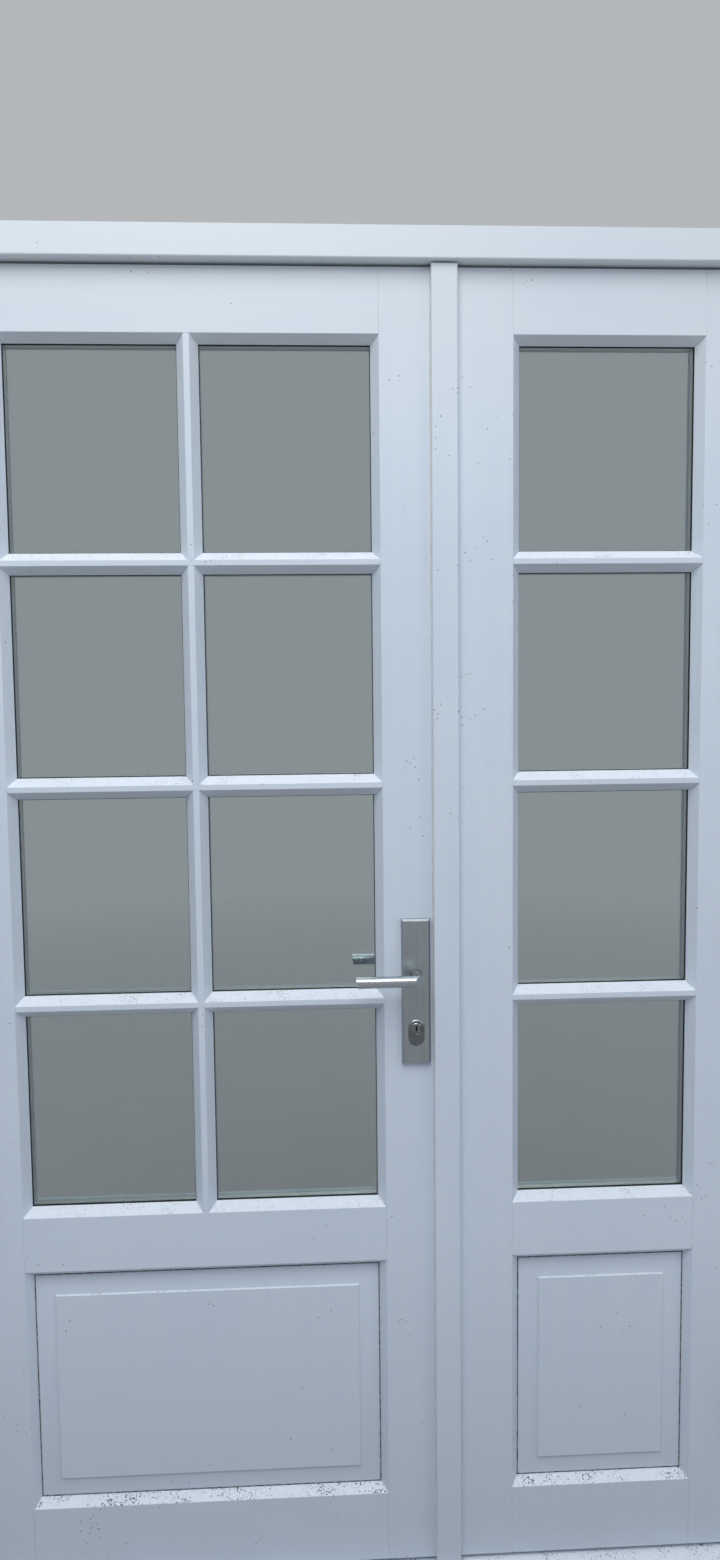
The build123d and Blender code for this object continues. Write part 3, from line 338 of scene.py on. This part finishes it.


# The panels float in their grooves, and round each one the paint has cracked. A dark hairline,
# a low rib in the corner between the panel and its frame, stands for that crack and for painted
# shade in the joint
open_joint, tree, shader, point = new_material("open_panel_joint", Specular_IOR_Level=0.2)
grime_and_joint_shade = noise(tree, point, 150, 3)
colour(tree, shader, grime_and_joint_shade, 0.35, 0.65, (0.05, 0.045, 0.04, 1), (0.3, 0.32, 0.34, 1))
tree.links.new(ramp(tree, grime_and_joint_shade, 0.3, 0.7, 0.7, 0.9), shader["Roughness"])
groove_cover, crack, rib, groove_y = 0.01, 0.0017, 0.0007, -0.0203
for leaf in ("active", "passive"):
    low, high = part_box(leaf + "_panel")
    across, tall = high.x - low.x - 2 * groove_cover, high.z - low.z - 2 * groove_cover
    bpy.ops.object.select_all(action="DESELECT")
    bpy.ops.mesh.primitive_plane_add(
        size=1,
        location=((low.x + high.x) / 2, groove_y, (low.z + high.z) / 2),
        rotation=(math.radians(90), 0, 0),
    )
    joint = bpy.context.object
    joint.scale = (across, tall, 1)
    bpy.ops.object.transform_apply(location=True, rotation=True, scale=True)
    bpy.ops.object.mode_set(mode="EDIT")
    bpy.ops.mesh.select_all(action="SELECT")
    bpy.ops.mesh.inset(thickness=crack)
    bpy.ops.mesh.delete(type="ONLY_FACE")
    bpy.ops.mesh.select_all(action="SELECT")
    bpy.ops.mesh.extrude_region_move(TRANSFORM_OT_translate={"value": (0, -rib, 0)})
    bpy.ops.mesh.select_all(action="SELECT")
    bpy.ops.mesh.normals_make_consistent(inside=False)
    bpy.ops.object.mode_set(mode="OBJECT")
    joint.data.materials.append(open_joint)
    place_ready(joint, leaf + "_panel_joint", leaf + "_leaf")

# ---------------------------------------------------------------------------------------------
# Glazing. Sealed units of two clear panes with a grey aluminium spacer between them, bedded on
# black tape against the moulding and held by the beads inside. All are shown as the CAD has them.
clear_glass, tree, shader, point = new_material(
    "clear_glass", Base_Color=(0.71, 0.755, 0.755, 1), Transmission_Weight=1.0, IOR=1.5
)
rain = noise(tree, point, 7, 5, 0.6)
tree.links.new(ramp(tree, rain, 0.45, 0.8, 0.0, 0.02), shader["Roughness"])
waviness = noise(tree, point, 1.6, 0)
bump(tree, shader, waviness, 0.004, 0.12)

black_tape, tree, shader, point = new_material("black_glazing_tape", Specular_IOR_Level=0.3)
pores = noise(tree, point, 800, 3)
colour(tree, shader, pores, 0.35, 0.7, (0.011, 0.012, 0.013, 1), (0.03, 0.032, 0.034, 1))
tree.links.new(ramp(tree, pores, 0.3, 0.7, 0.7, 0.9), shader["Roughness"])
bump(tree, shader, pores, 0.0002, 0.5)

spacer_metal, tree, shader, point = new_material("spacer_metal", Metallic=1.0)
mill = noise(tree, point, 350, 3)
colour(tree, shader, mill, 0.3, 0.7, (0.6, 0.64, 0.66, 1), (0.72, 0.76, 0.78, 1))
tree.links.new(ramp(tree, mill, 0.3, 0.7, 0.38, 0.5), shader["Roughness"])
for leaf in ("active", "passive"):
    for part, finish in (
        ("outer_panes", clear_glass),
        ("inner_panes", clear_glass),
        ("glazing_tapes", black_tape),
        ("spacers", spacer_metal),
    ):
        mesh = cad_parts[f"{leaf}_{part}"].data
        mesh.materials.clear()
        mesh.materials.append(finish)

# ---------------------------------------------------------------------------------------------
# Cover strips. A flat painted strip on the active leaf laps over the meeting gap, with a bead of
# cream filler run along its left edge by hand. Another on the passive leaf is behind the gap,
# and that leaf carries the rubber seal.
for node, body in (("cover_strip", "active_leaf"), ("inner_cover_strip", "passive_leaf")):
    eased_copy(node, node + "_painted", body, upright_paint, 0.0008)
eased_copy(
    "meeting_seal", "meeting_seal_strip", "passive_leaf", seal_rubber, seal_round, 3
)

# The bead is a thin rod divided along its length, its points moved about a little at random
cream_filler, tree, shader, point = new_material("cream_filler", Specular_IOR_Level=0.4)
smear = noise(tree, point, 45, 4)
colour(tree, shader, smear, 0.35, 0.7, (0.62, 0.6, 0.52, 1), (0.74, 0.75, 0.72, 1))
tree.links.new(ramp(tree, smear, 0.3, 0.7, 0.35, 0.6), shader["Roughness"])
strip_low, strip_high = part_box("cover_strip")
end_gap, sunk = 0.002, 0.0002
bead_length = strip_high.z - strip_low.z - 2 * end_gap
bpy.ops.object.select_all(action="DESELECT")
bpy.ops.mesh.primitive_cylinder_add(
    vertices=10,
    radius=0.0015,
    depth=bead_length,
    end_fill_type="TRIFAN",
    location=(strip_low.x - sunk, strip_high.y - sunk, (strip_low.z + strip_high.z) / 2),
)
filler = bpy.context.object
bpy.ops.object.mode_set(mode="EDIT")
bpy.ops.mesh.select_mode(type="EDGE")
bpy.ops.mesh.select_all(action="DESELECT")
bpy.ops.object.mode_set(mode="OBJECT")
for edge in filler.data.edges:
    ends = [filler.data.vertices[i].co for i in edge.vertices]
    edge.select = abs(ends[0].z - ends[1].z) > bead_length / 2
bpy.ops.object.mode_set(mode="EDIT")
bpy.ops.mesh.subdivide(number_cuts=240)
bpy.ops.mesh.select_mode(type="VERT")
bpy.ops.mesh.select_all(action="SELECT")
bpy.ops.transform.vertex_random(offset=0.0004, uniform=0.7, normal=0.3, seed=4)
bpy.ops.mesh.vertices_smooth(factor=0.5, repeat=1)
bpy.ops.object.mode_set(mode="OBJECT")
bpy.ops.object.shade_smooth()
filler.data.materials.append(cream_filler)
place_ready(filler, "strip_filler", "active_leaf")

# ---------------------------------------------------------------------------------------------
# Hinges. Pressed satin steel butts, three to a leaf, let in flush and screwed to the jamb and to
# the leaf's edge, with the pin fixed in the frame's half.

# Brushing: fine scratches drawn out along the way the steel was rubbed
tree, given, out = effect(
    "brushed_lines",
    [("Point", "Vector", None), ("Stretch", "Vector", (1, 1, 0.02))],
    [("Lines", "Float"), ("Smudge", "Float")],
)
drawn = drawn_out(tree, given)
fine = noise(tree, drawn, 2600, 3, 0.7)
broad = noise(tree, drawn, 500, 2)
tree.links.new(blend(tree, 0.35, fine, broad), out["Lines"])
tree.links.new(noise(tree, given["Point"], 38, 4, 0.55), out["Smudge"])
brushed_lines = tree


def brushed_steel(name, stretch, dark, light, rough=(0.26, 0.42), depth=0.00003):
    """Satin steel, brushed one way, with finger marks and a little dirt."""
    material, tree, shader, point = new_material(name, Metallic=1.0)
    rubbing_and_painted_highlight = group(tree, brushed_lines, {"Point": point, "Stretch": stretch})
    shares = {"Point": point, "Speck share": 0.02, "Ledge share": 0.1}
    dirt = group(tree, specks_dust_and_top_highlight, shares)
    tone = blend(tree, ramp(tree, rubbing_and_painted_highlight["Lines"], 0.3, 0.7), dark, light)
    tree.links.new(blend(tree, dirt["Specks"], tone, (0.06, 0.055, 0.05, 1)), shader["Base Color"])
    sheen = ramp(tree, rubbing_and_painted_highlight["Lines"], 0.3, 0.7, *rough)
    marks = ramp(tree, rubbing_and_painted_highlight["Smudge"], 0.5, 0.75, 0, 0.12)
    tree.links.new(maths(tree, "ADD", sheen, marks), shader["Roughness"])
    bump(tree, shader, rubbing_and_painted_highlight["Lines"], depth, 0.6)
    return material


hinge_steel = brushed_steel(
    "hinge_steel", (1, 1, 0.02), (0.4, 0.41, 0.42, 1), (0.52, 0.53, 0.54, 1)
)
for body, owner in (("frame", "frame"), ("active_leaf", "active"), ("passive_leaf", "passive")):
    node = owner + "_hinge_leaves"
    eased_copy(node, node + "_satin", body, hinge_steel, 0.0003)

# Countersunk screws, one modelled and the rest copied: a low domed head with a cross recess
screw_steel = brushed_steel(
    "screw_steel", (1, 1, 1), (0.3, 0.31, 0.32, 1), (0.44, 0.45, 0.46, 1), rough=(0.3, 0.45)
)
head_height = 0.0012
bpy.ops.object.select_all(action="DESELECT")
bpy.ops.mesh.primitive_cylinder_add(
    vertices=28, radius=0.004, depth=head_height, location=(0, 0, 0)
)
screw_head = bpy.context.object
bpy.ops.object.mode_set(mode="EDIT")
bpy.ops.mesh.select_all(action="DESELECT")
bpy.ops.object.mode_set(mode="OBJECT")
for face in screw_head.data.polygons:
    face.select = face.normal.z > 0.9
bpy.ops.object.mode_set(mode="EDIT")
for step_in, step_up in ((0.0009, 0.00018), (0.0012, 0.00008)):
    bpy.ops.mesh.inset(thickness=step_in)
    bpy.ops.transform.translate(value=(0, 0, step_up))
bpy.ops.object.mode_set(mode="OBJECT")
for turned in (0, 90):
    bpy.ops.object.select_all(action="DESELECT")
    bpy.ops.mesh.primitive_cube_add(
        size=1, location=(0, 0, head_height / 2), rotation=(0, 0, math.radians(turned))
    )
    slot_cutter = bpy.context.object
    slot_cutter.scale = (0.0044, 0.0009, 0.0012)
    cut = screw_head.modifiers.new("recess", "BOOLEAN")
    cut.object, cut.operation, cut.solver = slot_cutter, "DIFFERENCE", "EXACT"
    bpy.ops.object.select_all(action="DESELECT")
    screw_head.select_set(True)
    bpy.context.view_layer.objects.active = screw_head
    bpy.ops.object.modifier_apply(modifier="recess")
    bpy.data.objects.remove(slot_cutter)
bpy.ops.object.shade_smooth_by_angle(angle=math.radians(35))
screw_head.data.materials.append(screw_steel)


def screws(name, body, spots):
    """Copies of the screw head joined into one piece. A spot is a place and the way it faces."""
    heads = []
    for turn, (place, way) in enumerate(spots):
        head = bpy.data.objects.new(name, screw_head.data.copy())
        bpy.context.scene.collection.objects.link(head)
        faced = Vector(way).to_track_quat("Z", "Y").to_matrix().to_4x4()
        spun = Matrix.Rotation(turn * 0.9, 4, "Z")
        head.matrix_world = Matrix.Translation(place) @ faced @ spun
        heads.append(head)
    bpy.ops.object.select_all(action="DESELECT")
    for head in heads:
        head.select_set(True)
    bpy.context.view_layer.objects.active = heads[0]
    bpy.ops.object.join()
    place_ready(heads[0], name, body)


# Three screws to each hinge half: how far back each one is, and how far above the hinge's middle
hinge_heights, holes = (0.286, 1.081, 1.876), ((-0.0125, 0.034), (-0.024, 0), (-0.0125, -0.034))
leaf_plate, jamb_plate, proud = 0.632, 0.635, 0.0003
for side, sign in (("active", -1), ("passive", 1)):
    rows = [(y, middle + above) for middle in hinge_heights for y, above in holes]
    leaf_spots = [((sign * (leaf_plate - proud), y, z), (sign, 0, 0)) for y, z in rows]
    jamb_spots = [((sign * (jamb_plate + proud), y, z), (-sign, 0, 0)) for y, z in rows]
    screws(side + "_leaf_hinge_screws", side + "_leaf", leaf_spots)
    screws(side + "_jamb_hinge_screws", "frame", jamb_spots)

# ---------------------------------------------------------------------------------------------
# Lock, latch and bolts. A zinc plated case in a mortise with a satin faceplate, its latch and
# deadbolt, the follower and the cam, and on the passive leaf a strike plate and flush bolts.
zinc = brushed_steel(
    "zinc_plate", (1, 1, 0.2), (0.36, 0.38, 0.4, 1), (0.48, 0.5, 0.52, 1), rough=(0.35, 0.5)
)
satin_upright = brushed_steel(
    "satin_steel_upright", (1, 1, 0.02), (0.36, 0.39, 0.41, 1), (0.47, 0.5, 0.52, 1)
)
for node, body, finish, slot in (
    ("lock_case", "active_leaf", zinc, "lock_steel"),
    ("lock_faceplate", "active_leaf", satin_upright, "satin_steel"),
    ("latch_bolt", "latch", zinc, "lock_steel"),
    ("deadbolt", "lock_bolt", zinc, "lock_steel"),
    ("follower", "lever", zinc, "lock_steel"),
    ("spindle", "lever", zinc, "lock_steel"),
    ("bolt_cam", "turn", zinc, "lock_steel"),
    ("strike_plate", "passive_leaf", satin_upright, "satin_steel"),
    ("flush_bolt_plates", "passive_leaf", satin_upright, "satin_steel"),
    ("top_bolt_rod", "top_bolt", satin_upright, "satin_steel"),
    ("bottom_bolt_rod", "bottom_bolt", satin_upright, "satin_steel"),
    ("bolt_keeps", "frame", satin_upright, "satin_steel"),
):
    eased_copy(node, node + "_metal", body, finish, 0.0002)

# ---------------------------------------------------------------------------------------------
# Long plates. Satin steel backplates, brushed from top to bottom and bevelled all round, held to
# each other through the stile, with two screws in the inside one.
satin_plate = brushed_steel(
    "satin_plate",
    (1, 1, 0.012),
    (0.33, 0.37, 0.39, 1),
    (0.46, 0.5, 0.52, 1),
    rough=(0.24, 0.4),
    depth=0.00004,
)
for side in ("outside", "inside"):
    node = side + "_plate"
    eased_copy(node, node + "_satin", "active_leaf", satin_plate, 0.0003, 3)
low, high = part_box("inside_plate")
plate_x, plate_y = (low.x + high.x) / 2, high.y - 0.0003
screw_heights = (low.z + 0.01, high.z - 0.016)
screws(
    "inside_plate_screws",
    "active_leaf",
    [((plate_x, plate_y, z), (0, 1, 0)) for z in screw_heights],
)
bpy.data.objects.remove(screw_head)

# ---------------------------------------------------------------------------------------------
# Levers. Bent from round satin steel bar: a neck out of the plate, a mitred elbow with a flat cut
# across its outer corner, and a straight grip with its end cut at a slant and eased.
satin_bar = brushed_steel(
    "satin_bar",
    (0.02, 1, 1),
    (0.42, 0.455, 0.485, 1),
    (0.5, 0.54, 0.58, 1),
    rough=(0.23, 0.27),
    depth=0.000004,
)
bar_radius, elbow_facet, end_slant = 0.00875, 0.014, 0.0029


def cut_across(place, normal, keep_front, fill=False):
    """Cut all of the mesh in edit mode along a plane and clear one side of it."""
    bpy.ops.mesh.select_all(action="SELECT")
    bpy.ops.mesh.bisect(
        plane_co=place,
        plane_no=normal,
        clear_inner=keep_front,
        clear_outer=not keep_front,
        use_fill=fill,
    )


def bar(start, end, rotation):
    """A length of round bar between two points, left in edit mode with its place in its mesh."""
    bpy.ops.object.select_all(action="DESELECT")
    middle = (Vector(start) + Vector(end)) / 2
    length = (Vector(end) - Vector(start)).length
    bpy.ops.mesh.primitive_cylinder_add(
        vertices=64, radius=bar_radius, depth=length, location=middle, rotation=rotation
    )
    bpy.ops.object.transform_apply(location=True, rotation=True, scale=True)
    piece = bpy.context.object
    bpy.ops.object.mode_set(mode="EDIT")
    return piece


for side, out_way in (("outside", -1), ("inside", 1)):
    low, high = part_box(side + "_lever")
    x, z = high.x - bar_radius, (low.z + high.z) / 2
    grip_y = low.y + bar_radius if out_way < 0 else high.y - bar_radius
    neck_y = high.y if out_way < 0 else low.y
    past_elbow, past_tip = 0.02, 0.01
    elbow = Vector((x, grip_y, z))
    mitre = Vector((1, -out_way, 0)).normalized()
    neck_end = (x, grip_y + out_way * past_elbow, z)
    neck = bar((x, neck_y, z), neck_end, (math.radians(90), 0, 0))
    cut_across(elbow, mitre, True)
    bpy.ops.object.mode_set(mode="OBJECT")
    grip_start, grip_end = (low.x - past_tip, grip_y, z), (x + past_elbow, grip_y, z)
    grip = bar(grip_start, grip_end, (0, math.radians(90), 0))
    cut_across(elbow, mitre, False)
    tip = (low.x + end_slant / 2, grip_y, z)
    cut_across(tip, (2 * bar_radius, 0, end_slant), True, fill=True)
    bpy.ops.object.mode_set(mode="OBJECT")
    neck.select_set(True)
    bpy.ops.object.join()
    bpy.ops.object.mode_set(mode="EDIT")
    bpy.ops.mesh.select_all(action="SELECT")
    bpy.ops.mesh.remove_doubles(threshold=0.00002)
    corner = (x + bar_radius - elbow_facet, grip_y + out_way * bar_radius, z)
    cut_across(corner, (1, out_way, 0), False, fill=True)
    bpy.ops.mesh.select_all(action="SELECT")
    bpy.ops.mesh.normals_make_consistent(inside=False)
    bpy.ops.object.mode_set(mode="OBJECT")
    soften(grip, 0.0005, 3, 30)
    even_shading(grip, 24)
    grip.data.materials.append(satin_bar)
    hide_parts(side + "_lever")
    place_ready(grip, side + "_lever_bar", "lever")

# ---------------------------------------------------------------------------------------------
# Lock cylinder and thumb turn. A plated oval body with a turning plug, its keyway cut by a
# broach, and on the inside a satin thumb turn on a round neck.
plug_low, plug_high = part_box("cylinder_plug")
plug_axis = Vector(((plug_low.x + plug_high.x) / 2, 0, (plug_low.z + plug_high.z) / 2))
plug_radius = (plug_high.x - plug_low.x) / 2


def from_axis(point):
    """How far a point is from the plug's axis."""
    return math.hypot(point.x - plug_axis.x, point.z - plug_axis.z)


def on_front(point):
    """Whether a point lies on the cylinder's outside face."""
    return point.y < plug_low.y + 0.00002


def body_rim(point):
    """Whether a point is on the body's outer rim."""
    return on_front(point) and from_axis(point) > plug_radius + 0.0005


def plug_rim(point):
    """Whether a point is on the plug's rim."""
    return on_front(point) and from_axis(point) > plug_radius - 0.0002


body_dark, body_light = (0.17, 0.185, 0.2, 1), (0.23, 0.25, 0.27, 1)
plug_dark, plug_light = (0.2, 0.2, 0.21, 1), (0.3, 0.3, 0.31, 1)
for node, body, dark, light, rim, rim_round in (
    ("cylinder_body", "active_leaf", body_dark, body_light, body_rim, 0.0006),
    ("cylinder_plug", "turn", plug_dark, plug_light, plug_rim, 0.0012),
):
    plated, tree, shader, point = new_material(node + "_plating", Metallic=1.0)
    wear = noise(tree, point, 120, 3)
    tone = blend(tree, ramp(tree, wear, 0.35, 0.7), dark, light)
    # Faces that look up are painted near white, a painted highlight of the light from overhead
    tilt = put(tree, "SeparateXYZ", {"Vector": put(tree, "NewGeometry")["Normal"]})["Z"]
    rubbing_and_painted_highlight = ramp(tree, tilt, 0.15, 0.6)
    tree.links.new(blend(tree, rubbing_and_painted_highlight, tone, (0.85, 0.87, 0.9, 1)), shader["Base Color"])
    tree.links.new(ramp(tree, wear, 0.3, 0.7, 0.1, 0.22), shader["Roughness"])
    bump(tree, shader, noise(tree, point, 1800, 2), 0.00001, 0.3)
    piece = eased_copy(
        node, node + "_plated", body, plated, 0.0002, 2, rim, rim_round
    )

# The plug is the last piece made, and the walls of its keyway are painted near black, a painted
# shade in the recess
keyway_painted_shade, tree, shader, point = new_material("keyway_painted_shade", Metallic=0.6)
shade_mottle = noise(tree, point, 900, 2)
colour(tree, shader, shade_mottle, 0.3, 0.7, (0.01, 0.01, 0.01, 1), (0.04, 0.035, 0.03, 1))
tree.links.new(ramp(tree, shade_mottle, 0.3, 0.7, 0.5, 0.8), shader["Roughness"])
piece.data.materials.append(keyway_painted_shade)
keyway_reach, keyway_mouth, keyway_end = 0.0065, 0.0003, 0.02
for face in piece.data.polygons:
    depth = face.center.y - plug_low.y
    if from_axis(face.center) < keyway_reach and keyway_mouth < depth < keyway_end:
        face.material_index = 1

eased_copy("thumbturn", "thumbturn_satin", "turn", satin_bar, 0.0005, 3)

# ---------------------------------------------------------------------------------------------
# Studio. A plain pale floor that runs on to a pale background, soft light from in front and
# above, and the camera where the photograph was taken from.
pale_air, overhead_air = (0.46, 0.475, 0.49, 1), (0.97, 1.02, 1.06, 1)
bpy.ops.object.select_all(action="DESELECT")
bpy.ops.mesh.primitive_plane_add(size=60, location=(0, 0, 0))
floor = bpy.context.object
floor.name = "studio_floor"
floor_finish, tree, shader, point = new_material(
    "floor_finish", Roughness=0.9, Specular_IOR_Level=0.0
)
mottle = noise(tree, point, 6, 3)
tone = blend(tree, mottle, (0.42, 0.405, 0.395, 1), (0.45, 0.435, 0.425, 1))
away = put(tree, "VectorMath", {0: point}, operation="LENGTH")["Value"]
far = ramp(tree, away, 1.6, 6.0)
tree.links.new(blend(tree, far, tone, (0, 0, 0, 1)), shader["Base Color"])
shader["Emission Color"].default_value = pale_air
tree.links.new(far, shader["Emission Strength"])
floor.data.materials.append(floor_finish)

# The air is pale where it is seen or mirrored, dim where it only lights, and bright overhead
world = bpy.data.worlds.new("studio_air")
bpy.context.scene.world = world
world.use_nodes = True
tree = world.node_tree
tree.nodes.clear()
rays = put(tree, "LightPath")
seen = maths(tree, "MAXIMUM", rays["Is Camera Ray"], rays["Is Glossy Ray"])
seen = maths(tree, "MAXIMUM", seen, rays["Is Transmission Ray"])
level_air = blend(tree, seen, (0.12, 0.17, 0.285, 1), pale_air)
steepness = put(tree, "SeparateXYZ", {"Vector": put(tree, "TexCoord")["Generated"]})["Z"]
shown = blend(tree, ramp(tree, steepness, 0.58, 0.86), level_air, overhead_air)
backdrop = put(tree, "Background", {"Color": shown, "Strength": 1.0})["Background"]
tree.links.new(backdrop, tree.nodes.new("ShaderNodeOutputWorld").inputs["Surface"])

for name, place, aim, width, power in (
    ("key_light", (-0.45, -2.0, 3.7), (0, 0, 1.5), 2.0, 58),
    ("fill_light", (3.8, -2.6, 2.6), (0.2, 0, 1.6), 2.0, 22),
    ("back_light", (0.6, 3.0, 4.4), (0, 0, 1.2), 2.4, 45),
):
    data = bpy.data.lights.new(name, "AREA")
    data.shape, data.size, data.energy = "SQUARE", width, power
    lamp = bpy.data.objects.new(name, data)
    bpy.context.scene.collection.objects.link(lamp)
    lamp.location = place
    lamp.rotation_euler = (Vector(aim) - Vector(place)).to_track_quat("-Z", "Y").to_euler()

# The camera's place, turn and lens, fitted to the photograph's straight lines
camera_place, yaw, pitch, roll = (-0.0801, -1.6861, 1.4529), 0.0498725, -0.0833777, -0.0105392
ahead = Vector((math.sin(yaw) * math.cos(pitch), math.cos(yaw) * math.cos(pitch), math.sin(pitch)))
right = Vector((math.cos(yaw), -math.sin(yaw), 0))
up = right.cross(ahead)
rolled_right = math.cos(roll) * right + math.sin(roll) * up
rolled_up = math.cos(roll) * up - math.sin(roll) * right
camera_data = bpy.data.cameras.new("camera")
camera_data.lens, camera_data.sensor_width = 24.923, 36
camera = bpy.data.objects.new("camera", camera_data)
bpy.context.scene.collection.objects.link(camera)
turned = Matrix((rolled_right, rolled_up, -ahead)).transposed().to_4x4()
camera.matrix_world = Matrix.Translation(camera_place) @ turned
bpy.context.scene.camera = camera
bpy.context.scene.view_settings.view_transform = "Standard"
